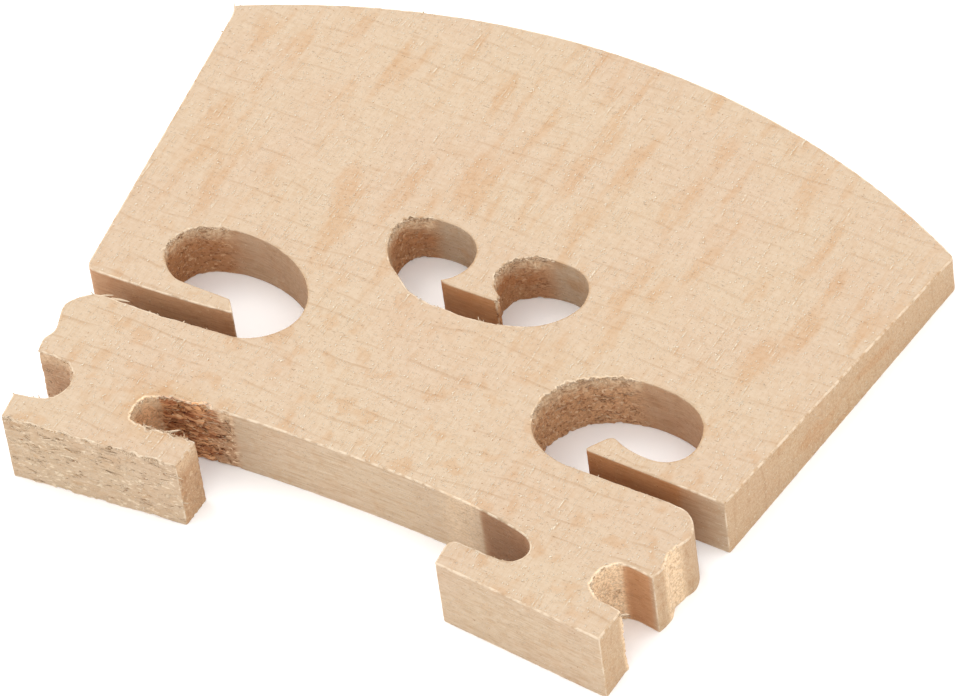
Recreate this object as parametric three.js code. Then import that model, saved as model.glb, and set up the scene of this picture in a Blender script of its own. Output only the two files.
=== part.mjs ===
// Violin bridge blank: one tapered plate of maple, sawn to the outline of an unfitted bridge.
//
// The plate lies on its flat back. +Z points up out of its face, +Y runs from the feet to the
// string arch, and +X runs to the right as the face is seen. All lengths are in millimetres.
// The outline is drawn with x from the centre line and y from the tips of the soles. It was cut
// by hand-guided tools, so its left and right halves are alike but not mirror images.

import * as THREE from "three";

// ---------------------------------------------------------------- driving dimensions

const FOOT_SPAN = 41; // over the outer ends of both soles
const CROWN_HEIGHT = 43.4; // from the sole tips to the crown of the string arch
const CROWN_RADIUS = 52.2; // of the string arch
const CROWN_SHIFT = -0.2; // the crown stands a little left of the centre line
const LEFT_CORNER = -25.4; // where the string arch meets each wing
const RIGHT_CORNER = 25.27;
const SOLE_THICKNESS = 5.78; // front to back at the sole tips
const CROWN_THICKNESS = 2.4; // front to back at the crown

const SOLE_RISE = 1.05; // each sole slopes up by this much towards the middle
const ARCH_RISE = 6.37; // crown of the arch between the feet
const SLOT_FLOOR = 11.36; // lower edge of the slot under each wing
const LEFT_KIDNEY_TOP = 19.74;
const RIGHT_KIDNEY_TOP = 19.31;
const HEART_FLOOR = 19.46;
const HEART_TOP = 25.92;
const LEFT_NOTCH_RADIUS = 1.75;
const RIGHT_NOTCH_RADIUS = 1.58;

const CURVE_STEPS = 12; // straight chords to each round turn

const MAPLE = { color: 0xe6cba8, roughness: 0.75, metalness: 0 };

// ---------------------------------------------------------------- drawing the outline

// Rounds a corner: leaves the last point towards the corner and arrives at the end from it.
// A fullness of 0.55 makes a quarter of an ellipse, and more pushes the curve into the corner.
function turn(path, corner, end, fullness = 0.55) {
  const start = path.currentPoint;
  path.bezierCurveTo(
    THREE.MathUtils.lerp(start.x, corner[0], fullness),
    THREE.MathUtils.lerp(start.y, corner[1], fullness),
    THREE.MathUtils.lerp(end[0], corner[0], fullness),
    THREE.MathUtils.lerp(end[1], corner[1], fullness),
    end[0],
    end[1],
  );
}

// A smooth wavy edge through its high and low points.
function wave(path, points) {
  path.splineThru(points.map(([x, y]) => new THREE.Vector2(x, y)));
}

// A cutter's round notch, entered along its first rim and left along its last one.
function notch(path, centre, radius, firstDegrees, lastDegrees) {
  const first = THREE.MathUtils.degToRad(firstDegrees);
  const last = THREE.MathUtils.degToRad(lastDegrees);
  path.absarc(centre[0], centre[1], radius, first, last, true);
}

function leftFoot(path) {
  path.moveTo(-FOOT_SPAN / 2, 0);
  path.lineTo(-8.85, SOLE_RISE);
  path.lineTo(-8.73, 3.15);
  turn(path, [-8.73, 3.34], [-8.95, 3.33]);
  path.lineTo(-12.7, 3.11);
}

function archBetweenFeet(path) {
  turn(path, [-13.57, 3.11], [-13.57, 4.3]);
  turn(path, [-13.57, 5.48], [-12.33, 5.66]);
  turn(path, [-9, ARCH_RISE], [0, ARCH_RISE], 0.7);
  turn(path, [8.3, ARCH_RISE], [12.2, 5.42], 0.7);
  turn(path, [13.5, 5.2], [13.5, 4.2]);
  turn(path, [13.5, 3.03], [12.3, 3.03]);
}

function rightFoot(path) {
  path.lineTo(9.25, 3.11);
  turn(path, [8.8, 3.1], [8.8, 2.55]);
  path.lineTo(8.9, SOLE_RISE);
  path.lineTo(FOOT_SPAN / 2, 0);
  path.lineTo(20.65, 2.5);
}

function rightAnkle(path) {
  notch(path, [19.52, 4.25], RIGHT_NOTCH_RADIUS, -85, 85);
  path.lineTo(21.12, 5.6);
  wave(path, [[21.34, 6.7], [21.14, 7.8], [21.62, 9.3]]);
  turn(path, [21.65, SLOT_FLOOR], [19.6, SLOT_FLOOR]);
}

function rightKidney(path) {
  path.lineTo(12.3, SLOT_FLOOR);
  turn(path, [8.36, SLOT_FLOOR], [8.36, 14.9]);
  turn(path, [8.36, RIGHT_KIDNEY_TOP], [14.2, RIGHT_KIDNEY_TOP]);
  turn(path, [18.6, RIGHT_KIDNEY_TOP], [18.6, 15.8], 0.66);
  turn(path, [18.4, 13.92], [16.4, 13.92], 0.62);
}

function rightWing(path) {
  path.quadraticCurveTo(15, 13.92, 13.88, 14.5);
  turn(path, [13.6, 14.58], [13.39, 14.28]);
  path.lineTo(12.66, 13.1);
  turn(path, [12.58, 12.92], [12.83, 12.91]);
  path.lineTo(22.2, 12.64);
  path.lineTo(25.45, 36.5);
}

function stringArch(path) {
  const centreY = CROWN_HEIGHT - CROWN_RADIUS;
  const first = Math.acos((RIGHT_CORNER - CROWN_SHIFT) / CROWN_RADIUS);
  const last = Math.acos((LEFT_CORNER - CROWN_SHIFT) / CROWN_RADIUS);
  path.absarc(CROWN_SHIFT, centreY, CROWN_RADIUS, first, last, false);
}

function leftWing(path) {
  path.lineTo(-25.1, 35.85);
  path.lineTo(-22.3, 13.55);
  turn(path, [-22.23, 12.95], [-21.65, 12.97]);
  path.quadraticCurveTo(-16.1, 13.04, -12.1, 13.54);
  path.lineTo(-12.88, 14.5);
}

function leftKidney(path) {
  path.lineTo(-16.4, 14.53);
  turn(path, [-18.6, 14.53], [-18.6, 16.8], 0.4);
  turn(path, [-18.6, LEFT_KIDNEY_TOP], [-14.35, LEFT_KIDNEY_TOP], 0.63);
  turn(path, [-8.25, LEFT_KIDNEY_TOP], [-8.25, 15.1]);
  turn(path, [-8.25, 11.9], [-11.4, 11.83], 0.49);
}

function leftAnkle(path) {
  path.lineTo(-16.4, 11.48);
  path.lineTo(-19.7, 11.43);
  wave(path, [[-20.7, 11.23], [-21.78, 9.77], [-21.24, 7.74], [-21.5, 6.7], [-21.25, 5.64]]);
  notch(path, [-19.85, 3.93], LEFT_NOTCH_RADIUS, 90, -57);
  path.lineTo(-20.78, 1.99);
}

function outline() {
  const shape = new THREE.Shape();
  leftFoot(shape);
  archBetweenFeet(shape);
  rightFoot(shape);
  rightAnkle(shape);
  rightKidney(shape);
  rightWing(shape);
  stringArch(shape);
  leftWing(shape);
  leftKidney(shape);
  leftAnkle(shape);
  shape.closePath();
  return shape;
}

// The heart: two lobes joined under a tongue that hangs between them like a fish's tail.
function heart() {
  const hole = new THREE.Path();
  hole.moveTo(-2.02, 21.47);
  hole.quadraticCurveTo(-1.07, 22.14, -0.92, 23.35);
  turn(hole, [-0.86, HEART_TOP], [-3.75, HEART_TOP], 0.62);
  turn(hole, [-6.65, HEART_TOP], [-6.65, 23.83], 0.65);
  turn(hole, [-6.49, 22.31], [-5.38, 21.32]);
  hole.lineTo(-3.71, 20.11);
  turn(hole, [-2.81, HEART_FLOOR], [-1.4, HEART_FLOOR]);
  hole.lineTo(1.1, HEART_FLOOR);
  turn(hole, [3.3, 19.57], [4.82, 20.41]);
  turn(hole, [6.86, 21.55], [6.86, 23.43]);
  turn(hole, [6.86, HEART_TOP], [4.39, HEART_TOP], 0.62);
  turn(hole, [0.86, HEART_TOP], [0.86, 23.81]);
  turn(hole, [0.89, 22.66], [1.39, 22.25]);
  hole.lineTo(1.85, 21.88);
  turn(hole, [2.15, 21.61], [1.95, 21.35]);
  hole.lineTo(-1.46, 21.31);
  hole.closePath();
  return hole;
}

// ---------------------------------------------------------------- the plate

// The back is flat and the face slopes evenly, from the full thickness at the soles to the thin
// string arch. Every edge of the outline is sawn square to the back.
function thicknessAt(y) {
  return THREE.MathUtils.mapLinear(y, 0, CROWN_HEIGHT, SOLE_THICKNESS, CROWN_THICKNESS);
}

function taperedPlate() {
  const shape = outline();
  shape.holes.push(heart());
  const geometry = new THREE.ExtrudeGeometry(shape, {
    depth: SOLE_THICKNESS,
    bevelEnabled: false,
    curveSegments: CURVE_STEPS,
  });
  const position = geometry.getAttribute("position");
  for (let i = 0; i < position.count; i += 1) {
    if (position.getZ(i) > 0) {
      position.setZ(i, thicknessAt(position.getY(i)));
    }
  }
  geometry.computeVertexNormals();
  return geometry;
}

function bridgeBlank() {
  const blank = new THREE.Mesh(taperedPlate(), new THREE.MeshStandardMaterial(MAPLE));
  blank.name = "bridge_blank";
  // The origin is under the middle of the plate's box.
  blank.geometry.computeBoundingBox();
  const middle = blank.geometry.boundingBox.getCenter(new THREE.Vector3());
  blank.position.set(-middle.x, -middle.y, 0);
  return blank;
}

const bridge = new THREE.Group();
bridge.add(bridgeBlank());

export default bridge;
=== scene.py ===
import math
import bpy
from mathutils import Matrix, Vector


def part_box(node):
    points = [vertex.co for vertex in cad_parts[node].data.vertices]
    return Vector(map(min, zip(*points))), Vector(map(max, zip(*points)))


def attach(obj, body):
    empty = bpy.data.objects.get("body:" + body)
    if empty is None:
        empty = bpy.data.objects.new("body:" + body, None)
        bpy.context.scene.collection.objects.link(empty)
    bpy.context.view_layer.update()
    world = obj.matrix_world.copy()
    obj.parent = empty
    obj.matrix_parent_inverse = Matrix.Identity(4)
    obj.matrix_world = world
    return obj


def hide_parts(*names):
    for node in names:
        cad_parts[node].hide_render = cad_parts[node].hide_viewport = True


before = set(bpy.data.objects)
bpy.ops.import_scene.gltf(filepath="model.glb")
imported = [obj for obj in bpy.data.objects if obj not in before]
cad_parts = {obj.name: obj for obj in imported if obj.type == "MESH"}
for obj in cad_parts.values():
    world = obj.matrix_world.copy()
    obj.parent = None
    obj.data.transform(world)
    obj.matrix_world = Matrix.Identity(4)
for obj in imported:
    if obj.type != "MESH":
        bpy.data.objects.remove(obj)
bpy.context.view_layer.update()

# Violin bridge blank: the looks of one tapered plate of raw maple, sawn to the outline of a bridge.
#
# Lengths are in millimetres until a mesh is made, and meshes are in metres. +Z points up out of the
# face, x is measured from the middle of the plate and y from the tips of the soles. The wood's
# grain runs along X, its growth rings stand across Y and its rays run along Y.

from types import SimpleNamespace

import bpy
import numpy as np
from mathutils import Matrix, Vector, geometry, kdtree

NODE = "bridge_blank"
MM = 0.001
LOW_CORNER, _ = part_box(NODE)
SOLE_TIPS = LOW_CORNER[1] / MM


# -------- repeatable noise

CELL_FACTORS = np.array([73856093, 19349663, 83492791])
SEED_FACTOR = 2654435761
SCRAMBLES = ((13, 1274126177), (16, 668265263))
LAST_SHIFT = 15
WORD, HALF_WORD = 0xFFFFFFFF, 0x7FFFFFFF
OCTAVE_SEED = 31
OCTAVE_SCALE = 2.03
OCTAVE_SHIFT = 11.7


def lattice_value(cells, seed):
    """A repeatable number from -1 to 1 for each whole-numbered cell."""
    mixed = cells.astype(np.int64) @ CELL_FACTORS + seed * SEED_FACTOR
    for shift, factor in SCRAMBLES:
        mixed = ((mixed ^ (mixed >> shift)) * factor) & WORD
    return ((mixed ^ (mixed >> LAST_SHIFT)) & WORD) / HALF_WORD - 1.0


def noise(points, lump, seed, octaves=1):
    """Smooth noise from about -1 to 1; lump is the length of one lump along each axis."""
    scaled = np.asarray(points, float) / np.asarray(lump, float)
    total = np.zeros(len(scaled))
    weight, weights = 1.0, 0.0
    for octave in range(octaves):
        cell = np.floor(scaled)
        share = scaled - cell
        share = share * share * (3 - 2 * share)
        value = np.zeros(len(scaled))
        for corner in np.ndindex(2, 2, 2):
            amount = np.prod(np.where(corner, share, 1 - share), axis=1)
            value += amount * lattice_value(cell + corner, seed + OCTAVE_SEED * octave)
        total += weight * value
        weights += weight
        weight *= 0.5
        scaled = scaled * OCTAVE_SCALE + OCTAVE_SHIFT
    return total / weights


def smooth_step(value, start, end):
    share = np.clip((value - start) / (end - start), 0, 1)
    return share * share * (3 - 2 * share)


def unit(vectors):
    return vectors / np.maximum(np.linalg.norm(vectors, axis=-1, keepdims=True), 1e-9)


# -------- the sawn outline

ON_BACK = 0.001  # a CAD corner lower than this lies on the back
ON_FACE = 1.0  # and one higher than this lies on the face
OUTLINE_STEP = 0.02
CORNER_WEAR = 0.08
SHARP_TURN = math.radians(28)


def cad_plate():
    """The CAD plate's mesh, and its corners in millimetres."""
    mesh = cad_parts[NODE].data
    return mesh, np.array([vertex.co for vertex in mesh.vertices]) / MM


def back_loops():
    """The edges of the plate's flat back, with the wood on the left: the outline, then the heart."""
    mesh, corners = cad_plate()
    places, names = np.unique(corners.round(4), axis=0, return_inverse=True)
    names = names.reshape(-1)
    sides = set()
    for face in mesh.polygons:
        ring = [int(names[v]) for v in face.vertices]
        if places[ring, 2].max() < ON_BACK:
            for a, b in zip(ring, ring[1:] + ring[:1]):
                if (a, b) in sides:
                    sides.remove((a, b))
                else:
                    sides.add((b, a))
    following = dict(sides)
    loops = []
    while following:
        first = min(following)
        loop, at = [first], following.pop(first)
        while at != first:
            loop.append(at)
            at = following.pop(at)
        loops.append(places[loop, :2] - (0, SOLE_TIPS))
    return sorted(loops, key=len, reverse=True)


def face_plane():
    """The sloping face as (height at the sole tips, rise for each millimetre of y)."""
    _, corners = cad_plate()
    front = corners[corners[:, 2] > ON_FACE]
    rise, height = np.polyfit(front[:, 1] - SOLE_TIPS, front[:, 2], 1)
    return height, rise


SOLE_THICKNESS, FACE_RISE = face_plane()


def thickness_at(y):
    return SOLE_THICKNESS + FACE_RISE * y


def travelled(points):
    """How far along a closed line each point lies, with the whole length at the end."""
    gaps = np.linalg.norm(np.roll(points, -1, 0) - points, axis=1)
    return np.concatenate([[0], np.cumsum(gaps)])


def points_at(points, distances):
    along = travelled(points)
    closed = np.vstack([points, points[:1]])
    return np.stack([np.interp(distances, along, closed[:, k]) for k in (0, 1)], axis=1)


def curved(loop):
    """Rounds the straight chords of the loop's curves, and leaves its corners sharp."""
    ends = np.roll(loop, -1, 0)
    ahead = ends - loop
    length = np.linalg.norm(ahead, axis=1, keepdims=True)
    way = ahead / length
    way_before, length_before = np.roll(way, 1, 0), np.roll(length, 1, 0)
    cross = way_before[:, 0] * way[:, 1] - way_before[:, 1] * way[:, 0]
    turn = np.abs(np.arctan2(cross, (way_before * way).sum(1)))
    sharp = (turn > SHARP_TURN)[:, None]
    through = unit(way * length + way_before * length_before)
    leaving = np.where(sharp, way, through) * length
    arriving = np.roll(np.where(sharp, way_before, through), -1, 0) * length
    pieces = []
    for start, end, out, into, span in zip(loop, ends, leaving, arriving, length[:, 0]):
        count = max(2, math.ceil(span / OUTLINE_STEP))
        t = (np.arange(count) / count)[:, None]
        pieces.append(
            start * (2 * t**3 - 3 * t**2 + 1)
            + out * (t**3 - 2 * t**2 + t)
            + end * (3 * t**2 - 2 * t**3)
            + into * (t**3 - t**2)
        )
    return np.vstack(pieces)


def worn(points):
    """The same closed line in even steps, with its corners slightly rounded."""
    whole = travelled(points)[-1]
    count = int(whole / OUTLINE_STEP)
    even = points_at(points, np.arange(count) * whole / count)
    reach = math.ceil(3 * CORNER_WEAR / OUTLINE_STEP)
    offsets = np.arange(-reach, reach + 1)
    weights = np.exp(-0.5 * (offsets * OUTLINE_STEP / CORNER_WEAR) ** 2)
    weights /= weights.sum()
    return sum(w * np.roll(even, -o, 0) for w, o in zip(weights, offsets))


def outward_of(points):
    """The direction from the wood into the air at each point of an evenly stepped loop."""
    way = unit(np.roll(points, -1, 0) - np.roll(points, 1, 0))
    return np.stack([way[:, 1], -way[:, 0]], axis=1)


def curl_of(outward):
    """How sharply the line bends, per millimetre: above 0 where the wood sticks out."""
    ahead, behind = np.roll(outward, -1, 0), np.roll(outward, 1, 0)
    cross = behind[:, 0] * ahead[:, 1] - behind[:, 1] * ahead[:, 0]
    return np.arctan2(cross, (behind * ahead).sum(1)) / (2 * OUTLINE_STEP)


def highest_nearby(values, reach=0.2):
    """The highest value within that reach along the loop."""
    steps = math.ceil(reach / OUTLINE_STEP)
    return np.max([np.roll(values, k) for k in range(-steps, steps + 1)], axis=0)


# -------- where the saw tore the wood

# Boxes of the plan: low x, high x, low y, high y, and how soft their sides are if not as usual.
PLACES = {
    "left_kidney": (-19.2, -7.9, 11.6, 20.2),
    "left_tongue_tip": (-12.7, -11.4, 13.0, 14.3),
    "right_kidney": (7.9, 19.0, 11.2, 19.9),
    "left_lobe": (-7.2, -0.4, 21.9, 26.4),
    "right_lobe": (0.4, 7.3, 20.4, 26.4),
    "heart_tongue": (-2.2, 2.2, 21.0, 22.6, 0.1),
    "heart_floor": (-3.5, 3.5, 19.2, 20.2),
    "left_sole": (-20.7, -8.7, -0.5, 1.3, 0.1),
    "left_inner_slot": (-14.0, -9.3, 2.6, 6.5, 0.2),
    "left_inner_mouth": (-10.0, -8.0, 3.9, 6.5, 0.3),
    "left_inner_end": (-14.3, -12.4, 2.8, 5.6, 0.6),
    "left_inner_floor": (-13.5, -9.0, 2.7, 3.6),
    "scorched_slot": (-12.7, -9.6, 3.8, 6.5, 0.4),
    "scorched_mouth": (-10.2, -8.5, 3.9, 6.5, 0.9),
    "right_inner_slot": (9.3, 14.0, 2.6, 6.3, 0.2),
    "right_inner_floor": (9.2, 13.5, 2.7, 3.5),
    "right_inner_mouth": (6.5, 9.2, 5.0, 6.6, 0.8),
    "left_wing_slot": (-22.4, -11.5, 12.6, 14.0),
    "left_wing_floor": (-21.0, -11.0, 11.0, 12.2),
    "right_wing_slot": (12.3, 22.5, 12.3, 13.3),
    "right_wing_floor": (11.0, 20.5, 11.0, 12.0),
    "left_notch": (-21.5, -17.9, 1.9, 5.9),
    "right_notch": (17.4, 20.9, 2.3, 6.1),
    "right_waist": (20.7, 22.0, 6.6, 8.6),
    "left_foot_end": (-9.1, -8.4, 1.0, 3.3),
    "top_left": (-26.0, -12.0, 34.0, 44.0),
}

# Ways that a wall can face: degrees from +X, and how far from there still counts.
WAYS = {
    "torn_side": (-28, 52),
    "up": (90, 45),
    "down": (-90, 45),
    "sole": (-85, 25),
    "notch_half": (0, 70),
    "waist": (0, 60),
    "foot_end": (0, 40),
    "top": (115, 40),
}
USUAL_SOFTNESS = 0.25
WAY_SOFTNESS = 8

LEFT_TONGUE_TOP = 14.7  # walls that face down below this are the left tongue's, not the kidney's
RIGHT_WING_FADE = (18.0, 22.5)
DARKENING_FADE = (10.0, 13.0)

# How strongly each part of the wall is rough, brown, broken pale or frayed; pale is partly pale
# broken fibres and partly painted light that lifts walls lying in shade.
STRENGTHS = {
    "rough": {
        "left_kidney_torn": 0.5,
        "right_kidney_torn": 0.8,
        "lobes_torn": 0.4,
        "left_sole": 0.62,
        "left_inner_open": 1.0,
        "notch_left_half": 0.5,
        "left_notch": 0.3,
        "right_waist": 0.35,
        "left_foot_end": 0.35,
    },
    "brown": {
        "left_kidney": 0.3,
        "right_kidney": 0.45,
        "right_kidney_torn": 0.15,
        "left_kidney_torn": 0.55,
        "lobes_torn": 0.75,
        "heart_tongue": 0.95,
        "left_wing_slot": 0.7,
        "right_wing_slot": 0.8,
        "right_inner_slot": 0.65,
        "notch_right_half": 0.8,
        "left_notch": 0.4,
        "left_foot_end": 0.25,
        "left_inner_slot": 0.55,
    },
    # pale: pale broken fibres, and painted light that lifts walls lying in shade; at
    # right_inner_mouth it is painted light only
    "pale": {
        "notch_left_half": 1.0,
        "right_waist": 0.7,
        "left_inner_end": 1.0,
        "right_inner_mouth": 0.35,
        "right_kidney_torn": 0.45,
    },
    "frayed": {
        "holes_torn": 0.9,
        "left_sole": 0.7,
        "left_inner_slot": 0.6,
        "notch_left_half": 0.5,
        "left_notch": 0.3,
        "right_waist": 0.3,
        "wing_floors": 0.2,
        "inner_floors": 0.3,
        "heart_floor": 0.35,
        "top_left": 0.12,
        "everywhere": 0.03,
    },
}


def within(points, low_x, high_x, low_y, high_y, edge=USUAL_SOFTNESS):
    """1 inside a box of the plan and 0 outside it, with soft sides."""
    x, y = points.T
    return (
        smooth_step(x, low_x - edge, low_x + edge)
        * (1 - smooth_step(x, high_x - edge, high_x + edge))
        * smooth_step(y, low_y - edge, low_y + edge)
        * (1 - smooth_step(y, high_y - edge, high_y + edge))
    )


def facing(outward, degrees, spread):
    """1 where the wall faces that way, counted from +X, and 0 beyond the spread."""
    aim = np.array([math.cos(math.radians(degrees)), math.sin(math.radians(degrees))])
    away = np.degrees(np.arccos(np.clip(outward @ aim, -1, 1)))
    return 1 - smooth_step(away, spread - WAY_SOFTNESS, spread + WAY_SOFTNESS)


def wall_parts(points, outward):
    """How far each point of the loop belongs to each named part of the wall, from 0 to 1."""
    part = {name: within(points, *box) for name, box in PLACES.items()}
    way = {name: facing(outward, *aim) for name, aim in WAYS.items()}
    x, y = points.T
    part["left_kidney"] *= 1 - way["down"] * (y < LEFT_TONGUE_TOP)
    part["left_kidney"] *= 1 - part["left_tongue_tip"]
    part["left_sole"] *= way["sole"]
    part["left_inner_slot"] = np.maximum(part["left_inner_slot"], part["left_inner_mouth"])
    part["left_inner_open"] = part["left_inner_slot"] * (1 - 0.6 * part["left_inner_end"])
    part["left_wing_slot"] *= way["down"]
    part["right_wing_slot"] *= way["down"] * (1 - smooth_step(x, *RIGHT_WING_FADE))
    part["notch_left_half"] = part["right_notch"] * way["notch_half"]
    part["notch_right_half"] = part["right_notch"] - part["notch_left_half"]
    part["right_waist"] *= way["waist"]
    part["left_foot_end"] *= way["foot_end"]
    part["top_left"] *= way["top"]
    part["lobes"] = part["left_lobe"] + part["right_lobe"]
    part["holes"] = part["left_kidney"] + part["right_kidney"] + part["lobes"]
    for name in ("left_kidney", "right_kidney", "lobes", "holes"):
        part[name + "_torn"] = part[name] * way["torn_side"]
    part["wing_floors"] = way["up"] * (part["left_wing_floor"] + part["right_wing_floor"])
    part["inner_floors"] = way["up"] * (part["left_inner_floor"] + part["right_inner_floor"])
    part["heart_floor"] *= way["up"]
    clean_holes = np.clip(part["holes"] + part["heart_tongue"], 0, 1) * (1 - way["torn_side"])
    part["clean_holes"] = clean_holes
    part["everywhere"] = np.ones(len(points))
    return part


def saw_marks(points, outward):
    """What the saw left along the loop, each mark from 0 to 1.

    Walls are rough, brown, scorched, frayed or pale, and one slot is darker towards its left end;
    pale is partly pale broken fibres and partly painted light on walls that lie in shade. end_grain
    says how far the wall cuts across the grain, and wear how much its rims are rubbed and painted
    with a highlight.
    """
    part = wall_parts(points, outward)
    marks = {}
    for mark, strengths in STRENGTHS.items():
        total = sum(strength * part[name] for name, strength in strengths.items())
        marks[mark] = np.clip(total, 0, 1)
    marks["scorch"] = np.maximum(part["scorched_slot"], 0.75 * part["scorched_mouth"])
    # The right inner slot is darker at its left end, fading towards its right.
    fade = smooth_step(points[:, 0], *DARKENING_FADE)
    marks["soot"] = part["right_inner_slot"] * (1 - 0.7 * fade)
    marks["end_grain"] = outward[:, 0] ** 2
    # Rims are rubbed and painted with a highlight, less so on the clean walls of the holes.
    marks["wear"] = 1 - 0.75 * part["clean_holes"]
    return marks


PAINTED = ("rough", "brown", "scorch", "pale", "soot", "end_grain")

FINE_COLUMN = 0.11
COARSE_COLUMN = 0.28
CORNER_COLUMN = 0.06
FINE_WHERE_ROUGH = (0.05, 0.3)
COLUMN_TURN = 0.35  # the most that the line turns between two columns, in radians
LEAST_CURL = 0.1
CORNER_CURL = (3.0, 7.0)


class Rim:
    """One closed edge of the plate, in columns that stand closer together where the wood is torn."""

    def __init__(self, loop):
        line = worn(curved(loop))
        outward = outward_of(line)
        marks = saw_marks(line, outward)
        curl = curl_of(outward)
        fineness = smooth_step(marks["rough"], *FINE_WHERE_ROUGH)
        step = COARSE_COLUMN + (FINE_COLUMN - COARSE_COLUMN) * fineness
        turning = COLUMN_TURN / np.maximum(np.abs(curl), LEAST_CURL)
        step = np.minimum(step, np.maximum(CORNER_COLUMN, turning))
        counted = np.concatenate([[0], np.cumsum(OUTLINE_STEP / step)])
        columns = int(counted[-1])
        at = np.arange(columns) * counted[-1] / columns
        picked = np.interp(at, counted, np.arange(len(counted))).astype(int) % len(line)
        self.points = line[picked]
        self.outward = outward[picked]
        self.corner = smooth_step(curl, *CORNER_CURL)[picked]
        self.convex = highest_nearby(curl)[picked]
        self.concave = highest_nearby(-curl)[picked]
        self.marks = {name: values[picked] for name, values in marks.items()}
        self.stain = np.maximum(0.75 * self.marks["brown"], self.marks["scorch"])

    def ways_at(self, at):
        """The ways out of the wall and along it at those columns."""
        flat = np.zeros(len(at))
        outward = np.column_stack([self.outward[at], flat])
        along = np.column_stack([-self.outward[at, 1], self.outward[at, 0], flat])
        return outward, along


# -------- the plate's mesh

BACK_ROUND = 0.05
FRONT_ROUND = 0.07
ROUND_STEPS = 3
WALL_ROWS = 34
# how far up from the back and down from the face a rim's rubbed wear and painted highlight reach
RUBBED_AND_HIGHLIT_RIM = (0.03, 0.2)

TEAR_DEPTH = 0.2
SMOOTH_DEPTH = 0.012
SPLINTER_DEPTH = 0.3
SPLINTER_LENGTHS = (0.1, 0.9)
MOVE_SHARE = 0.45  # of the radius of a bend, the most that its points are moved
LEAST_BEND = 0.5

FACE_STEP = 0.55
ROW_STEP = FACE_STEP * 0.866
FACE_JITTER = 0.1
RIM_GAP = 0.5
NEAR_BAND, FAR_BAND = 0.13, 0.32


def kept_apart(distance, rim):
    """Shortens moves at tight corners, so that neighbouring points never pass each other."""
    tight = np.where(distance > 0, rim.concave, rim.convex)
    limit = MOVE_SHARE / np.maximum(tight, LEAST_BEND)
    return limit * np.tanh(distance / limit)


def wall_relief(places, rough, frayed, depth):
    """How far the wall stands out at each place; torn wood is lost in pits and long fibres.

    Frayed rims have also lost splinters from their uppermost part.
    """
    fibres = noise(places, lump=(1.7, 0.3, 0.3), seed=3, octaves=3)
    pits = noise(places, lump=(0.34, 0.26, 0.26), seed=7, octaves=2)
    waves = noise(places, lump=(2.6, 1.1, 1.4), seed=11)
    chipped = smooth_step(noise(places, lump=(0.6, 0.32, 0.4), seed=43, octaves=2), 0.1, 0.3)
    torn = 0.6 * fibres + 0.35 * pits + 0.3 * waves + 0.2 - 0.7 * chipped
    even = noise(places, lump=(1.8, 0.14, 0.14), seed=17, octaves=2)
    splinters = smooth_step(noise(places, lump=(0.7, 0.5, 0.9), seed=37, octaves=3), 0.0, 0.25)
    splinters = splinters * (0.3 + 0.7 * np.abs(pits)) + 0.3 * np.abs(pits)
    lost = SPLINTER_DEPTH * frayed * splinters * (1 - smooth_step(depth, *SPLINTER_LENGTHS))
    return rough * TEAR_DEPTH * torn + (1 - rough) * SMOOTH_DEPTH * even - lost


def wall_rows(height):
    """For each row from back to front: its height and how far it is rounded in from the wall."""
    rounds = [0.5 * math.pi * k / ROUND_STEPS for k in range(ROUND_STEPS)]
    rows = [(BACK_ROUND * (1 - math.cos(a)), BACK_ROUND * (1 - math.sin(a))) for a in rounds]
    for k in range(WALL_ROWS + 1):
        share = k / WALL_ROWS
        rows.append((BACK_ROUND + (height - BACK_ROUND - FRONT_ROUND) * share, 0.0))
    for a in reversed(rounds):
        level = height - FRONT_ROUND * (1 - math.cos(a))
        rows.append((level, FRONT_ROUND * (1 - math.sin(a))))
    return rows


def wall_grid(rim):
    """The wall's points as rows by columns, and how much each is part of a rubbed rim with a painted
    highlight.
    """
    height = thickness_at(rim.points[:, 1])
    grid, near = [], []
    for level, inset in wall_rows(height):
        level = np.broadcast_to(level, height.shape)
        places = np.column_stack([rim.points, level])
        relief = wall_relief(places, rim.marks["rough"], rim.marks["frayed"], height - level)
        outward_by = kept_apart(relief - inset, rim)
        moved = rim.points + rim.outward * outward_by[:, None]
        grid.append(np.column_stack([moved, level]))
        edge = 1 - smooth_step(np.minimum(level, height - level), *RUBBED_AND_HIGHLIT_RIM)
        near.append(np.maximum(edge, rim.corner) * rim.marks["wear"])
    grid = np.array(grid)
    grid[-1, :, 2] = thickness_at(grid[-1, :, 1])
    return grid, np.array(near)


def inside(points, loops):
    """True where a point lies in the wood, by the even-odd rule over all loops."""
    crossed = np.zeros(len(points), bool)
    x, y = points[:, :1], points[:, 1:]
    for loop in loops:
        ahead = np.roll(loop, -1, 0)
        spans = (loop[:, 1] > y) != (ahead[:, 1] > y)
        rise = np.where(ahead[:, 1] == loop[:, 1], 1e-12, ahead[:, 1] - loop[:, 1])
        at = loop[:, 0] + (y - loop[:, 1]) * (ahead[:, 0] - loop[:, 0]) / rise
        crossed ^= ((spans & (x < at)).sum(1) % 2).astype(bool)
    return crossed


def nearest(points, line):
    """How far each point is from the nearest point of the line."""
    tree = kdtree.KDTree(len(line))
    for i, (x, y) in enumerate(line):
        tree.insert((x, y, 0), i)
    tree.balance()
    return np.array([tree.find((x, y, 0))[2] for x, y in points])


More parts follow.
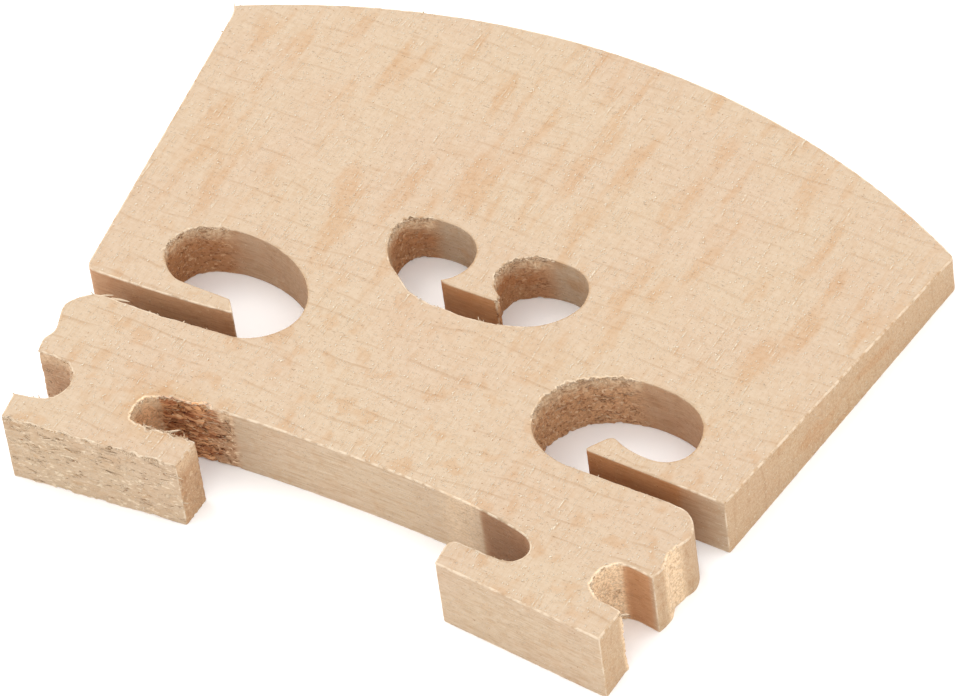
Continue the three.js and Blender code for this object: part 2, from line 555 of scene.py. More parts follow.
def cap_points(loops, line):
    """Points inside a face: two bands that follow its rims, and a jittered grid."""
    found = []
    for band, every in ((NEAR_BAND, 1), (FAR_BAND, 2)):
        for loop in loops:
            ring = (loop - outward_of(loop) * band)[::every]
            ring = ring[inside(ring, loops)]
            found.append(ring[nearest(ring, line) > 0.9 * band])
    low, high = loops[0].min(0), loops[0].max(0)
    xs = np.arange(low[0], high[0], FACE_STEP)
    ys = np.arange(low[1], high[1], ROW_STEP)
    rows = [(x + 0.5 * FACE_STEP * (row % 2), y) for row, y in enumerate(ys) for x in xs]
    grid = np.array(rows)
    flat = np.column_stack([grid, np.zeros(len(grid))])
    jitter = [noise(flat, lump=(0.6, 0.6, 0.6), seed=seed) for seed in (23, 29)]
    grid = grid + FACE_JITTER * np.column_stack(jitter)
    grid = grid[inside(grid, loops)]
    found.append(grid[nearest(grid, line) > RIM_GAP])
    return np.vstack(found)


def cap(rings, firsts):
    """Fills a face between its rims, whose points are numbered in the mesh from each first on.

    Returns the new inner points, triangles, and the mesh numbers of the rims' points. A triangle's
    corners count the rims' points first and then the inner ones.
    """
    line = np.vstack(rings)
    inner = cap_points(rings, line)
    numbers = np.concatenate([first + np.arange(len(ring)) for first, ring in zip(firsts, rings)])
    edges, start = [], 0
    for ring in rings:
        count = len(ring)
        edges += [(start + i, start + (i + 1) % count) for i in range(count)]
        start += count
    flat = [Vector(p) for p in np.vstack([line, inner])]
    out, _, faces, origins, _, _ = geometry.delaunay_2d_cdt(flat, edges, [], 1, 1e-6)
    triangles = np.array([list(face) for face in faces])
    places = np.array([tuple(p) for p in out])
    triangles = triangles[inside(places[triangles].mean(1), rings)]
    source = np.array([origin[0] if origin else -1 for origin in origins])
    if (source < 0).any():
        raise ValueError("two rims of a face cross each other")
    return inner, source[triangles], numbers


class Plate:
    """Collects the points, triangles and painted values of the whole plate."""

    def __init__(self, rims):
        self.points, self.faces, self.values = [], [], []
        self.count = 0
        backs, fronts = [], []
        for rim in rims:
            grid, near = wall_grid(rim)
            rows, columns = near.shape
            first = self.add(grid.reshape(-1, 3), self.wall_values(rim, near))
            self.faces.append(first + self.wall_faces(rows, columns))
            backs.append((grid[0, :, :2], first))
            fronts.append((grid[-1, :, :2], first + (rows - 1) * columns))
        self.add_cap(backs, np.zeros_like, back=True)
        self.add_cap(fronts, thickness_at, back=False)

    def add(self, points, values):
        first = self.count
        self.points.append(points)
        self.values.append(values)
        self.count += len(points)
        return first

    @staticmethod
    def wall_values(rim, near):
        rows = len(near)
        painted = [np.tile(rim.marks[name], rows) for name in PAINTED]
        return np.column_stack([np.ones(near.size), *painted, near.ravel()])

    @staticmethod
    def wall_faces(rows, columns):
        row, column = np.meshgrid(np.arange(rows - 1), np.arange(columns), indexing="ij")
        a = row * columns + column
        b = row * columns + (column + 1) % columns
        quads = np.stack([a, b, b + columns, a + columns], axis=-1).reshape(-1, 4)
        return np.vstack([quads[:, [0, 1, 2]], quads[:, [0, 2, 3]]])

    def add_cap(self, edges, height, back):
        rings, firsts = [ring for ring, _ in edges], [first for _, first in edges]
        inner, triangles, numbers = cap(rings, firsts)
        gap = nearest(inner, np.vstack(rings))
        blank = np.zeros((len(inner), 1 + len(PAINTED)))
        # Points of the face near a rim carry some of its rubbed wear and painted highlight.
        values = np.column_stack([blank, 1 - smooth_step(gap, 0.0, NEAR_BAND)])
        first = self.add(np.column_stack([inner, height(inner[:, 1])]), values)
        numbers = np.concatenate([numbers, first + np.arange(len(inner))])
        triangles = numbers[triangles]
        self.faces.append(triangles[:, ::-1] if back else triangles)


def scene_object(name, data):
    thing = bpy.data.objects.new(name, data)
    bpy.context.scene.collection.objects.link(thing)
    return thing


def mesh_object(name, points, faces, material):
    """A mesh in metres in the plate's frame, from points in millimetres counted from the soles."""
    mesh = bpy.data.meshes.new(name)
    places = (points + (0, SOLE_TIPS, 0)) * MM
    mesh.from_pydata(places.tolist(), [], faces.tolist())
    mesh.materials.append(material)
    mesh.shade_smooth()
    return scene_object(name, mesh)


def paint(mesh, name, values):
    layer = mesh.attributes.new(name, "FLOAT", "POINT")
    layer.data.foreach_set("value", np.ascontiguousarray(values, np.float32))


def flat_faced_normals(mesh, points, faces):
    """Shades each point by its widest faces, so that the flat faces stay flat up to their rims."""
    a, b, c = (points[faces[:, k]] for k in range(3))
    area = np.cross(b - a, c - a)
    total = np.zeros_like(points)
    for k in range(3):
        np.add.at(total, faces[:, k], area)
    mesh.normals_split_custom_set_from_vertices(unit(total).tolist())


def plate_piece(rims, material):
    plate = Plate(rims)
    points, faces = np.vstack(plate.points), np.vstack(plate.faces)
    piece = mesh_object("maple_plate", points, faces, material)
    for name, values in zip(("wall", *PAINTED, "rim"), np.vstack(plate.values).T):
        paint(piece.data, name, values)
    flat_faced_normals(piece.data, points, faces)
    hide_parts(NODE)
    return piece


# -------- torn fibres

STRAND_RINGS = ((0.15, 0.8), (0.5, 1.0), (0.85, 0.55))  # how far along it, and its share of girth
STRAND_SIDES = 3
ASKEW = (0.31, 0.22, 0.92)  # a direction that hardly any strand runs along

FIBRE_SEED = 41
WHISKER_COUNTS = (1100, 420)  # on the outline, and in the heart
SLIVER_COUNTS = (800, 130)
HALF_THICKNESS = (0.02, 0.05)
WHISKER_LENGTH, WHISKER_SPREAD = 0.13, 0.4
WHISKER_DEPTHS = (0.0, 0.12)
WHISKER_ROOT, SLIVER_ROOT = 0.05, 0.06  # how deep in the wood they start
SLIVER_LENGTH, SLIVER_SPREAD = 0.36, 0.5
SLIVER_LEVELS = (0.02, 0.98)  # as a share of the wall's height
SLIVER_LIMIT = 19.3  # slivers farther out than this all point the same way

# Slivers that can be told apart: start, way, bend, half thickness and half breadth.
LARGE_SLIVERS = (
    ((-19.7, 11.38, 4.82), (1.5, 0.42, 0.06), (0.0, -0.2, 0.05), 0.05, 0.12),
    ((-20.3, 11.3, 4.84), (0.7, 0.35, 0.1), (0.2, 0.0, 0.0), 0.04, 0.08),
    ((-10.9, 3.2, 5.42), (0.55, 0.5, 0.05), (0.25, 0.1, 0.0), 0.05, 0.12),
    ((-11.2, 3.22, 5.4), (0.7, 0.2, 0.1), (0.1, 0.1, 0.0), 0.03, 0.07),
    ((20.6, 2.36, 5.4), (0.55, 0.12, 0.08), (0.0, 0.1, 0.0), 0.05, 0.12),
    ((20.55, 2.2, 5.42), (0.5, 0.3, 0.1), (0.0, 0.0, 0.1), 0.03, 0.06),
    ((-25.3, 36.6, 2.85), (-0.2, 0.4, 0.1), (0.0, 0.0, 0.1), 0.03, 0.05),
)


def strands(starts, ways, bends, thickness, breadth):
    """Closed three-sided slivers of wood: points and triangles, in millimetres.

    ways and bends are whole lengths; thickness and breadth are half widths at the middle.
    """
    side = unit(np.cross(ways, ASKEW))
    other = unit(np.cross(ways, side))
    rows = [starts]
    for stop, girth in STRAND_RINGS:
        middle = starts + ways * stop + bends * stop**2
        for k in range(STRAND_SIDES):
            angle = 2 * math.pi * k / STRAND_SIDES
            reach = side * (breadth * math.cos(angle))[:, None]
            reach = reach + other * (thickness * math.sin(angle))[:, None]
            rows.append(middle + reach * girth)
    rows.append(starts + ways + bends)
    points = np.stack(rows, axis=1)
    count = points.shape[1]
    tip = count - 1
    last_ring = tip - STRAND_SIDES
    faces = []
    for k in range(STRAND_SIDES):
        after = (k + 1) % STRAND_SIDES
        faces.append((0, 1 + after, 1 + k))
        for ring in range(1, last_ring, STRAND_SIDES):
            a, b = ring + k, ring + after
            faces += [(a, b, b + STRAND_SIDES), (a, b + STRAND_SIDES, a + STRAND_SIDES)]
        faces.append((last_ring + k, last_ring + after, tip))
    numbered = np.array(faces)[None] + count * np.arange(len(points))[:, None, None]
    return points.reshape(-1, 3), numbered.reshape(-1, 3)


def scattered(rng, weights, count):
    """Picks columns at random, the heavier ones more often."""
    return rng.choice(len(weights), count, p=weights / weights.sum())


def girths(rng, count):
    """Half thicknesses and half breadths for that many strands."""
    thickness = rng.uniform(*HALF_THICKNESS, count)
    return thickness, thickness * rng.uniform(1, 2, count)


def rim_whiskers(rng, rim, count):
    """Short fibres that stick out over the front rim of torn walls."""
    at = scattered(rng, rim.marks["frayed"] ** 2, count)
    outward, along = rim.ways_at(at)
    level = thickness_at(rim.points[at, 1])
    depth = rng.uniform(*WHISKER_DEPTHS, count)
    starts = np.column_stack([rim.points[at], level - 0.03 - depth]) - outward * WHISKER_ROOT
    length = rng.lognormal(math.log(WHISKER_LENGTH), WHISKER_SPREAD, count)[:, None]
    ways = outward * rng.uniform(0.1, 0.8, (count, 1)) + along * rng.normal(0, 0.6, (count, 1))
    ways = unit(ways + (0, 0, 1) * rng.uniform(0.0, 0.8, (count, 1))) * length
    bends = rng.normal(0, 0.3, (count, 3)) * length
    return strands(starts, ways, bends, *girths(rng, count)), 0.3 * rim.stain[at]


def wall_slivers(rng, rim, count):
    """Longer fibres that lie along the torn walls and lift off them a little."""
    torn = np.clip(rim.marks["rough"] - 0.15, 0, 1)
    at = scattered(rng, torn * np.clip(-rim.outward[:, 1], 0, 1), count)
    outward, along = rim.ways_at(at)
    level = thickness_at(rim.points[at, 1]) * rng.uniform(*SLIVER_LEVELS, count)
    starts = np.column_stack([rim.points[at], level]) - outward * SLIVER_ROOT
    either_way = rng.choice((-1, 1), (count, 1))
    ahead = np.where(np.abs(rim.points[at, :1]) > SLIVER_LIMIT, 1, either_way)
    ways = along * ahead + outward * rng.uniform(0.0, 0.22, (count, 1))
    ways = unit(ways + rng.normal(0, 0.1, (count, 3)))
    length = rng.lognormal(math.log(SLIVER_LENGTH), SLIVER_SPREAD, count)[:, None]
    bends = outward * rng.uniform(-0.15, 0.1, (count, 1)) + rng.normal(0, 0.08, (count, 3))
    return strands(starts, ways * length, bends * length, *girths(rng, count)), rim.stain[at]


def fibre_piece(rims, material):
    rng = np.random.default_rng(FIBRE_SEED)
    groups = []
    for rim, whiskers, slivers in zip(rims, WHISKER_COUNTS, SLIVER_COUNTS):
        groups.append(rim_whiskers(rng, rim, whiskers))
        groups.append(wall_slivers(rng, rim, slivers))
    large = (np.array(values) for values in zip(*LARGE_SLIVERS))
    groups.append((strands(*large), np.zeros(len(LARGE_SLIVERS))))
    points, faces, stain, count = [], [], [], 0
    for (group_points, group_faces), group_stain in groups:
        points.append(group_points)
        faces.append(group_faces + count)
        stain.append(np.repeat(group_stain, len(group_points) // len(group_stain)))
        count += len(group_points)
    piece = mesh_object("torn_fibres", np.vstack(points), np.vstack(faces), material)
    paint(piece.data, "stain", np.concatenate(stain))
    return piece


# -------- building materials

class Nodes:
    """Short names for building one material's nodes, in millimetres from the sole tips."""

    def __init__(self, name):
        self.material = bpy.data.materials.new(name)
        self.material.use_nodes = True
        self.tree = self.material.node_tree
        self.shader = self.tree.nodes["Principled BSDF"]
        place = self.tree.nodes.new("ShaderNodeTexCoord").outputs["Object"]
        millimetres = self.vector("MULTIPLY", place, (1 / MM,) * 3)
        self.place = self.vector("SUBTRACT", millimetres, (0, SOLE_TIPS, 0))
        split = self.tree.nodes.new("ShaderNodeSeparateXYZ")
        self.tree.links.new(self.place, split.inputs[0])
        self.x, self.y, self.z = split.outputs

    def feed(self, socket, value):
        if isinstance(value, bpy.types.NodeSocket):
            self.tree.links.new(value, socket)
        else:
            socket.default_value = value

    def vector(self, operation, a, b):
        node = self.tree.nodes.new("ShaderNodeVectorMath")
        node.operation = operation
        self.feed(node.inputs[0], a)
        self.feed(node.inputs[1], b)
        return node.outputs["Vector"]

    def length(self, vector):
        node = self.tree.nodes.new("ShaderNodeVectorMath")
        node.operation = "LENGTH"
        self.feed(node.inputs[0], vector)
        return node.outputs["Value"]

    def math(self, operation, a, b=0.0, clamp=False):
        node = self.tree.nodes.new("ShaderNodeMath")
        node.operation = operation
        node.use_clamp = clamp
        self.feed(node.inputs[0], a)
        self.feed(node.inputs[1], b)
        return node.outputs[0]

    def less(self, value, taken):
        return self.math("SUBTRACT", value, taken)

    def times(self, *factors):
        product = factors[0]
        for factor in factors[1:]:
            product = self.math("MULTIPLY", product, factor)
        return product

    def plus(self, *terms):
        total = terms[0]
        for term in terms[1:]:
            total = self.math("ADD", total, term)
        return total

    def step(self, value, start, end):
        """0 below start and 1 above end, smoothly; the other way round if start is higher."""
        node = self.tree.nodes.new("ShaderNodeMapRange")
        node.interpolation_type = "SMOOTHSTEP"
        rising = end > start
        self.feed(node.inputs["Value"], value)
        self.feed(node.inputs["From Min"], min(start, end))
        self.feed(node.inputs["From Max"], max(start, end))
        self.feed(node.inputs["To Min"], 0.0 if rising else 1.0)
        self.feed(node.inputs["To Max"], 1.0 if rising else 0.0)
        return node.outputs["Result"]

    def noise(self, lump, detail=1.0, roughness=0.5, offset=(0, 0, 0), place=None):
        """Noise from 0 to 1 whose lumps are that long along x, y and z."""
        moved = self.vector("ADD", self.place if place is None else place, offset)
        node = self.tree.nodes.new("ShaderNodeTexNoise")
        self.feed(node.inputs["Vector"], self.vector("DIVIDE", moved, lump))
        self.feed(node.inputs["Scale"], 1.0)
        self.feed(node.inputs["Detail"], detail)
        self.feed(node.inputs["Roughness"], roughness)
        return node.outputs["Fac"]

    def mix(self, factor, a, b, blend="MIX"):
        node = self.tree.nodes.new("ShaderNodeMix")
        node.data_type = "RGBA"
        node.blend_type = blend
        self.feed(node.inputs[0], factor)
        colours = [socket for socket in node.inputs if socket.type == "RGBA"]
        self.feed(colours[0], a)
        self.feed(colours[1], b)
        return next(socket for socket in node.outputs if socket.type == "RGBA")

    def tint(self, colour, factor, tint):
        """Multiplies the colour by the named tint, as far as the factor says."""
        return self.mix(factor, colour, TINTS[tint], "MULTIPLY")

    def painted(self, name):
        node = self.tree.nodes.new("ShaderNodeAttribute")
        node.attribute_name = name
        return node.outputs["Fac"]

    def bump(self, height, millimetres, normal=None):
        node = self.tree.nodes.new("ShaderNodeBump")
        self.feed(node.inputs["Strength"], 1.0)
        self.feed(node.inputs["Distance"], millimetres * MM)
        self.feed(node.inputs["Height"], height)
        if normal is not None:
            self.feed(node.inputs["Normal"], normal)
        return node.outputs["Normal"]


def opaque(colours):
    """The named colours with their alpha."""
    return {name: (*rgb, 1.0) for name, rgb in colours.items()}


# -------- the maple

WARMED_PLACE = (-12.1, 4.6, 0.0)  # the middle of the blush beside the scorched slot
WARMED_REACH = (4.7, 2.6)  # it is gone at the first and full at the second
RING_SPACING = 1.5
UPPER_HALF = (14.0, 24.0)  # the flecks grow long between these heights
BROWN_DEPTHS = (0.01, 0.12)  # brown starts this far below the face
FINE_BUMP, TORN_BUMP = 0.03, 0.16

# Each pattern's lumps along x, y and z, detail, roughness, offset, and the noise where it is 0 and 1.
PATTERNS = {
    "long_flecks": ((1.4, 7.0, 1.4), 2.5, 0.45, (5, 1, 0), (0.5, 0.68)),
    "short_flecks": ((0.55, 2.2, 0.6), 2.0, 0.5, (1, 4, 0), (0.54, 0.7)),
    "clouds": ((1.3, 1.6, 1.0), 2.0, 0.45, (0, 7, 0), (0.54, 0.68)),
    "ring_pieces": ((3.0, 0.9, 0.9), 2.0, 0.5, (0, 3, 0), (0.38, 0.62)),
    "broad": ((7, 6, 6), 2.0, 0.5, (0, 0, 0), (0.3, 0.7)),
    "dots": ((0.13, 0.13, 0.13), 0.0, 0.5, (1, 9, 7), (0.8, 0.86)),
    "dashes": ((0.42, 0.08, 0.08), 1.0, 0.5, (9, 0, 0), (0.7, 0.82)),
    # specks and scratches are painted lit; their shade copies, the same noise moved a little, are
    # painted shadows beside them
    "specks": ((0.11, 0.22, 0.14), 1.0, 0.5, (0, 0, 4), (0.64, 0.73)),
    "speck_shades": ((0.11, 0.22, 0.14), 1.0, 0.5, (-0.09, 0.06, 4), (0.64, 0.73)),
    "scratches": ((0.1, 1.6, 1.6), 1.0, 0.5, (2, 2, 0), (0.64, 0.72)),
    "scratch_shades": ((0.1, 1.6, 1.6), 1.0, 0.5, (1.9, 2, 0), (0.64, 0.72)),
    "scratch_patches": ((2.2, 3.0, 2.0), 1.0, 0.5, (0, 5, 0), (0.4, 0.6)),
    "scratch_pieces": ((0.15, 0.2, 0.2), 0.0, 0.5, (6, 1, 0), (0.38, 0.55)),
    "wall_lines": ((2.4, 0.13, 0.13), 3.0, 0.65, (4, 4, 4), (0.42, 0.66)),
    "pale_lines": ((1.6, 0.1, 0.1), 2.0, 0.6, (14, 4, 4), (0.6, 0.75)),
    "pores": ((0.2, 0.16, 0.16), 2.0, 0.6, (3, 3, 3), (0.45, 0.65)),
    "fuzz": ((0.17, 0.15, 0.17), 2.0, 0.65, (5, 5, 9), (0.38, 0.6)),
    # dark spots: painted shade of small pits in the brown torn wood
    "craters": ((0.3, 0.24, 0.3), 2.0, 0.6, (12, 5, 2), (0.55, 0.63)),
    "crack_places": ((1.4, 0.6, 0.6), 1.0, 0.5, (9, 3, 3), (0.54, 0.68)),
    "chips": ((0.55, 0.2, 0.22), 2.0, 0.6, (2, 8, 5), (0.57, 0.66)),
    "rubbed": ((0.6, 0.6, 0.6), 2.0, 0.6, (8, 8, 8), (0.34, 0.6)),
}

COLOURS = opaque({
    "maple": (0.488, 0.37, 0.265),
    "warmer_maple": (0.492, 0.382, 0.272),
    # scratches and specks: painted highlights on their raised sides
    "scratches": (0.64, 0.55, 0.42),
    "specks": (0.64, 0.56, 0.44),
    "pale_lines": (0.62, 0.5, 0.37),
    # pale torn fibres, also used as painted light on walls that lie in shade
    "fuzz": (0.84, 0.62, 0.4),
    "chips": (0.65, 0.53, 0.38),
    "brown_chips": (0.72, 0.48, 0.28),
    "broken_off": (0.7, 0.53, 0.35),
    "burnt": (0.74, 0.39, 0.185),
    "charred": (0.45, 0.185, 0.078),
    "burnt_chips": (0.68, 0.46, 0.27),
    # rubbed rims: worn wood with a painted highlight
    "rubbed": (0.7, 0.59, 0.45),
    "fibre": (0.62, 0.49, 0.35),
    "dark_fibre": (0.5, 0.37, 0.25),
    "floor": (0.96, 0.96, 0.96),
    "pale_floor": (0.98, 0.98, 0.98),
    "tent": (1.0, 1.0, 1.0),
})

# These multiply the colour that they are laid over.
TINTS = opaque({
    "long_flecks": (0.95, 0.83, 0.71),
    "short_flecks": (0.95, 0.87, 0.78),
    "clouds": (0.95, 0.84, 0.73),
    "warmed": (0.96, 0.88, 0.78),
    "rings": (0.88, 0.82, 0.76),
    "grain": (0.95, 0.925, 0.89),
    "cross_grain": (0.94, 0.91, 0.87),
    "mottle": (0.95, 0.92, 0.89),
    "dashes": (0.86, 0.79, 0.71),
    "dots": (0.62, 0.48, 0.38),
    # painted shadow beside each speck and scratch
    "painted_shadows": (0.9, 0.82, 0.73),
    "wall": (0.98, 0.96, 0.935),
    "wall_lines": (0.86, 0.81, 0.75),
    "end_grain": (0.97, 0.91, 0.82),
    "pores": (0.93, 0.86, 0.77),
    "streaks": (0.96, 0.92, 0.86),
    "brown": (0.97, 0.62, 0.38),
    # darker at the start of the right inner slot
    "soot": (0.68, 0.64, 0.58),
    # painted shade of small pits
    "craters": (0.38, 0.22, 0.13),
    "cracks": (0.66, 0.45, 0.28),
    "burnt_streaks": (0.55, 0.42, 0.33),
    "burnt_cracks": (0.3, 0.2, 0.14),
    "brown_fibre": (0.8, 0.66, 0.5),
    "stained_fibre": (0.75, 0.46, 0.28),
})


def bent_place(n):
    """The place in the wood, swayed so that nothing drawn across the grain runs dead straight."""
    sway = n.less(n.noise((14, 9, 9), 2.0), 0.5)
    ripple = n.less(n.noise((3.2, 2.5, 2.5), 1.0, offset=(20, 0, 0)), 0.5)
    bent_y = n.plus(n.y, n.times(sway, 2.6), n.times(ripple, 0.5))
    bent = n.tree.nodes.new("ShaderNodeCombineXYZ")
    for socket, value in zip(bent.inputs, (n.x, bent_y, n.z)):
        n.feed(socket, value)
    return bent.outputs[0], bent_y


def growth_rings(n, bent_y):
    """Thin broken lines along X."""
    place = n.math("FRACT", n.math("DIVIDE", bent_y, RING_SPACING))
    return n.times(n.step(place, 0.8, 0.95), n.step(place, 1.0, 0.96))


def warmed_face(n):
    """Where the scorched slot has warmed the face around its end."""
    offset = n.vector("MULTIPLY", n.vector("SUBTRACT", n.place, WARMED_PLACE), (1, 1, 0))
    ragged = n.plus(n.length(offset), n.times(n.noise((1.4, 1.4, 1.4), 1.0), 2.5))
    return n.step(ragged, *WARMED_REACH)


def wood_of(n):
    """The maple's painted marks and patterns by name, mostly from 0 to 1, with its depth in mm."""
    wood = SimpleNamespace()
    for name in ("wall", *PAINTED, "rim"):
        setattr(wood, name, n.painted(name))
    for name, (lump, detail, roughness, offset, ends) in PATTERNS.items():
        setattr(wood, name, n.step(n.noise(lump, detail, roughness, offset), *ends))
    wood.face = n.less(1.0, wood.wall)
    wood.upper = n.step(n.y, *UPPER_HALF)
    bent, bent_y = bent_place(n)
    wood.grain = n.noise((1.3, 0.075, 0.075), 2.0, 0.6, place=bent)
    wood.cross_grain = n.noise((0.075, 1.1, 1.1), 2.0, 0.6, offset=(3, 0, 5))
    wood.mottle = n.noise((0.45, 0.3, 0.3), 3.0, 0.6)
    wood.streaks = n.noise((1.6, 0.26, 0.26), 3.0, 0.65, offset=(1, 5, 2))
    wood.rings = n.times(growth_rings(n, bent_y), wood.ring_pieces)
    wood.warmed = n.times(warmed_face(n), wood.face)
    wood.scratches = n.times(wood.scratches, wood.scratch_patches, wood.scratch_pieces)
    wood.scratch_shades = n.times(wood.scratch_shades, wood.scratch_patches)

    # How far below the face a place on the wall is, in millimetres.
    wood.depth = n.less(n.plus(n.times(n.y, FACE_RISE), SOLE_THICKNESS), n.z)
    wood.brown = n.times(wood.brown, n.step(wood.depth, *BROWN_DEPTHS))

    # A crack runs thin and dark along X wherever this noise crosses its middle.
    ridge = n.less(n.noise((2.6, 0.36, 0.36), 2.0, 0.6, offset=(6, 6, 0)), 0.5)
    wood.ridge = n.math("ABSOLUTE", ridge)
    cracks = n.times(n.step(wood.ridge, 0.018, 0.005), n.step(wood.rough, 0.1, 0.5))
    wood.cracks = n.times(cracks, wood.crack_places)
    return wood


def sanded(n, wood):
    """The sanded face: ray flecks along Y, growth rings and grain along X, and specks and scratches
    with a painted highlight and a painted shadow beside each.
    """
    tone = n.mix(wood.broad, COLOURS["maple"], COLOURS["warmer_maple"])
    long_flecks = n.times(wood.long_flecks, wood.upper, n.plus(0.5, n.times(wood.mottle, 0.7)))
    tone = n.tint(tone, long_flecks, "long_flecks")
    tone = n.tint(tone, n.times(wood.short_flecks, 0.45), "short_flecks")
    clouds = n.times(wood.clouds, n.less(1.0, wood.upper))
    clouds = n.times(clouds, n.less(0.75, n.times(wood.wall, 0.45)))
    tone = n.tint(tone, clouds, "clouds")
    tone = n.tint(tone, wood.warmed, "warmed")
    rings = n.times(wood.rings, n.less(1.0, n.times(wood.upper, 0.3)))
    tone = n.tint(tone, rings, "rings")
    tone = n.tint(tone, n.step(wood.grain, 0.35, 0.75), "grain")
    cross_grain = n.times(wood.face, n.step(wood.cross_grain, 0.4, 0.75))
    tone = n.tint(tone, cross_grain, "cross_grain")
    tone = n.tint(tone, n.step(wood.mottle, 0.35, 0.7), "mottle")
    tone = n.tint(tone, n.times(wood.dashes, 0.8), "dashes")
    tone = n.tint(tone, wood.dots, "dots")
    # A painted shadow beside each speck and scratch, from the same noise moved a little.
    painted_shadows = n.math("MAXIMUM", wood.speck_shades, wood.scratch_shades)
    tone = n.tint(tone, n.times(painted_shadows, wood.face), "painted_shadows")
    # Scratches and specks painted pale, as a painted highlight.
    tone = n.mix(n.times(wood.scratches, wood.face, 0.7), tone, COLOURS["scratches"])
    return n.mix(n.times(wood.specks, 0.7), tone, COLOURS["specks"])


def sawn(n, wood, tone):
    """Sawn walls carry long dark lines along X, and pores where the grain ends in them."""
    tone = n.tint(tone, wood.wall, "wall")
    lines = n.times(wood.wall, wood.wall_lines, n.less(1.0, n.times(wood.rough, 0.8)))
    tone = n.tint(tone, lines, "wall_lines")
    tone = n.mix(n.times(wood.wall, wood.pale_lines, 0.4), tone, COLOURS["pale_lines"])
    end_grain = n.times(wood.wall, wood.end_grain)
    tone = n.tint(tone, end_grain, "end_grain")
    return n.tint(tone, n.times(end_grain, wood.pores), "pores")


def torn(n, wood, tone):
    """Torn wood shows streaks, pale fuzz that is partly painted light in shade, dark pits of painted
    shade, dark cracks along X, and chips with clean ends.
    """
    streaks = n.times(wood.rough, n.step(wood.streaks, 0.46, 0.66))
    tone = n.tint(tone, streaks, "streaks")
    # Pale fibres, and painted light where the torn walls lie in shade.
    fuzz = n.times(wood.pale, n.plus(0.3, n.times(wood.fuzz, 0.7)))
    tone = n.mix(fuzz, tone, COLOURS["fuzz"])
    tone = n.tint(tone, wood.brown, "brown")
    # Darker towards the left end of the right inner slot.
    tone = n.tint(tone, wood.soot, "soot")
    # Dark spots on brown torn walls: painted shade of small pits.
    craters = n.times(wood.rough, wood.brown, wood.craters, 1.3)
    tone = n.tint(tone, craters, "craters")
    tone = n.tint(tone, wood.cracks, "cracks")
    chip_tone = n.mix(wood.brown, COLOURS["chips"], COLOURS["brown_chips"])
    chips = n.math("MULTIPLY", n.times(wood.rough, wood.chips), 1.15, clamp=True)
    tone = n.mix(chips, tone, chip_tone)

    # The uppermost fibres of browned torn walls are broken off pale.
    ragged = n.times(n.noise((0.5, 0.5, 0.9), 2.0, offset=(1, 1, 1)), 1.6)
    broken_off = n.times(
        n.step(n.plus(wood.depth, ragged), 2.3, 1.0),
        n.step(wood.rough, 0.1, 0.4),
        n.step(wood.brown, 0.05, 0.4),
        n.step(wood.depth, 0.02, 0.12),
        n.plus(0.4, n.times(wood.fuzz, 0.5)),
    )
    return n.mix(broken_off, tone, COLOURS["broken_off"])


def scorched(n, wood, tone):
    """The saw scorched one slot: red-brown, almost black in its cracks, with clean chips."""
    char = n.noise((1.1, 0.45, 0.5), 3.0, 0.6, offset=(6, 0, 3))
    burnt = n.mix(n.step(char, 0.4, 0.6), COLOURS["burnt"], COLOURS["charred"])
    burnt = n.tint(burnt, n.step(wood.streaks, 0.5, 0.6), "burnt_streaks")
    burnt = n.tint(burnt, n.step(wood.ridge, 0.03, 0.01), "burnt_cracks")
    burnt = n.mix(n.times(wood.chips, 0.8), burnt, COLOURS["burnt_chips"])
    edge = n.plus(wood.scorch, n.times(n.less(char, 0.5), 1.2))
    return n.mix(n.step(edge, 0.35, 0.75), tone, burnt)


def rubbed(n, wood, tone):
    """Rims are rubbed pale and painted with a highlight."""
    rim = n.times(n.step(wood.rim, 0.4, 0.95), wood.rubbed, 0.55)
    return n.mix(rim, tone, COLOURS["rubbed"])


def maple_normal(n, wood):
    """Fine relief everywhere, and deep fibres and cracks on torn walls."""
    fine = n.plus(
        n.times(wood.grain, 0.5),
        n.times(wood.mottle, 0.5),
        n.times(wood.dashes, -0.9),
        n.times(wood.scratches, wood.face, 0.8),
        wood.specks,
    )
    fibres = n.noise((0.8, 0.13, 0.13), 3.0, 0.65, offset=(7, 7, 1))
    torn_share = n.times(wood.rough, n.plus(0.5, n.times(wood.brown, 0.5)))
    share = n.plus(torn_share, n.times(wood.wall, 0.12))
    height = n.times(n.less(fibres, wood.cracks), share)
    return n.bump(height, TORN_BUMP, n.bump(fine, FINE_BUMP))


def maple():
    n = Nodes("raw_maple")
    wood = wood_of(n)
    tone = sanded(n, wood)
    for layer in (sawn, torn, scorched, rubbed):
        tone = layer(n, wood, tone)
    n.feed(n.shader.inputs["Base Color"], tone)
    roughness = n.plus(0.58, n.times(wood.mottle, 0.12), n.times(wood.rough, 0.2))
    n.feed(n.shader.inputs["Roughness"], roughness)
    n.feed(n.shader.inputs["Specular IOR Level"], 0.3)
    n.feed(n.shader.inputs["Normal"], maple_normal(n, wood))
    return n.material


def loose_fibre():
    n = Nodes("maple_fibre")
    mottle = n.noise((0.35, 0.2, 0.2), 2.0)
    tone = n.mix(mottle, COLOURS["fibre"], COLOURS["dark_fibre"])
    brown = n.step(n.noise((0.8, 0.8, 0.8), 1.0, offset=(3, 1, 2)), 0.55, 0.7)
    tone = n.tint(tone, n.times(brown, 0.7), "brown_fibre")
    tone = n.tint(tone, n.painted("stain"), "stained_fibre")
    n.feed(n.shader.inputs["Base Color"], tone)
    n.feed(n.shader.inputs["Roughness"], n.plus(0.65, n.times(mottle, 0.15)))
    n.feed(n.shader.inputs["Specular IOR Level"], 0.25)
    n.feed(n.shader.inputs["Normal"], n.bump(n.noise((0.2, 0.04, 0.04), 2.0), 0.02))
    return n.material


# -------- the studio, in metres

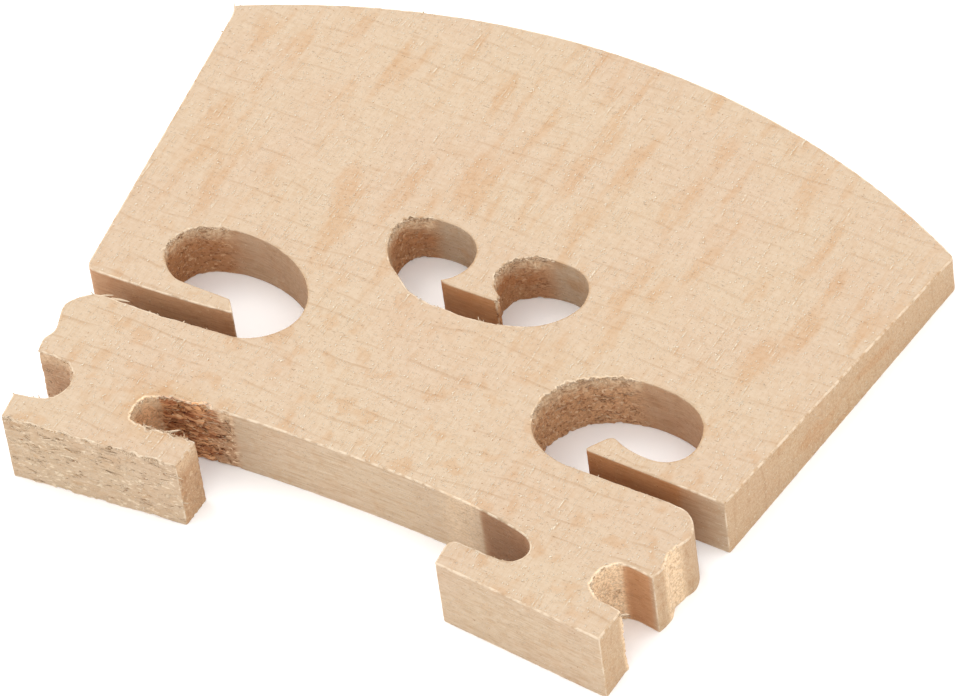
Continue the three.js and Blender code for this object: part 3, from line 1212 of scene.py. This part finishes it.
AIM = Vector((0.84, -1.19, 0.0)) * MM
AZIMUTH = math.radians(34.84)
ELEVATION = math.radians(50.31)
ROLL = math.radians(8.38)
DISTANCE = 490.07 * MM
LENS = 299.56
CLIP_START, CLIP_END = 0.01, 20.0

FLOOR_HALF_SIZE = 4.0
FLOOR_LEVEL = -0.01 * MM
FLOOR_LUMP = (60, 60, 60)

TENT_STRENGTH = 1.6
KEY_PLACE = (-0.35, 0.1, 0.6)
KEY_SIZE = 0.3
KEY_WATTS = 1.0


def camera():
    back = Vector(
        (
            math.sin(AZIMUTH) * math.cos(ELEVATION),
            -math.cos(AZIMUTH) * math.cos(ELEVATION),
            math.sin(ELEVATION),
        )
    )
    level_right = Vector((math.cos(AZIMUTH), math.sin(AZIMUTH), 0))
    level_up = back.cross(level_right)
    right = level_right * math.cos(ROLL) - level_up * math.sin(ROLL)
    up = back.cross(right)
    lens = bpy.data.cameras.new("camera")
    lens.lens = LENS
    lens.clip_start, lens.clip_end = CLIP_START, CLIP_END
    eye = scene_object("camera", lens)
    eye.matrix_world = Matrix((right, up, back)).transposed().to_4x4()
    eye.location = AIM + back * DISTANCE
    bpy.context.scene.camera = eye


def floor():
    n = Nodes("pale_floor")
    shade = n.noise(FLOOR_LUMP, 2.0)
    tone = n.mix(shade, COLOURS["floor"], COLOURS["pale_floor"])
    n.feed(n.shader.inputs["Base Color"], tone)
    n.feed(n.shader.inputs["Roughness"], 0.9)
    mesh = bpy.data.meshes.new("floor")
    sides = ((-1, -1), (1, -1), (1, 1), (-1, 1))
    corners = [(x * FLOOR_HALF_SIZE, y * FLOOR_HALF_SIZE, FLOOR_LEVEL) for x, y in sides]
    mesh.from_pydata(corners, [], [(0, 1, 2, 3)])
    mesh.materials.append(n.material)
    sheet = scene_object("floor", mesh)


def key_light():
    """A round softbox that faces the plate."""
    light = bpy.data.lights.new("key", "AREA")
    light.shape = "DISK"
    light.size = KEY_SIZE
    light.energy = KEY_WATTS
    lamp = scene_object("key", light)
    lamp.location = KEY_PLACE
    lamp.rotation_euler = Vector(KEY_PLACE).to_track_quat("Z", "Y").to_euler()


def studio():
    world = bpy.data.worlds.new("tent")
    world.use_nodes = True
    tent = world.node_tree.nodes["Background"]
    tent.inputs["Color"].default_value = COLOURS["tent"]
    tent.inputs["Strength"].default_value = TENT_STRENGTH
    bpy.context.scene.world = world
    key_light()
    bpy.context.scene.view_settings.view_transform = "Standard"


# -------- the scene

rims = [Rim(loop) for loop in back_loops()]
raw_maple = maple()
pieces = [plate_piece(rims, raw_maple), fibre_piece(rims, loose_fibre())]
for piece in pieces:
    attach(piece, "root")
camera()
floor()
studio()
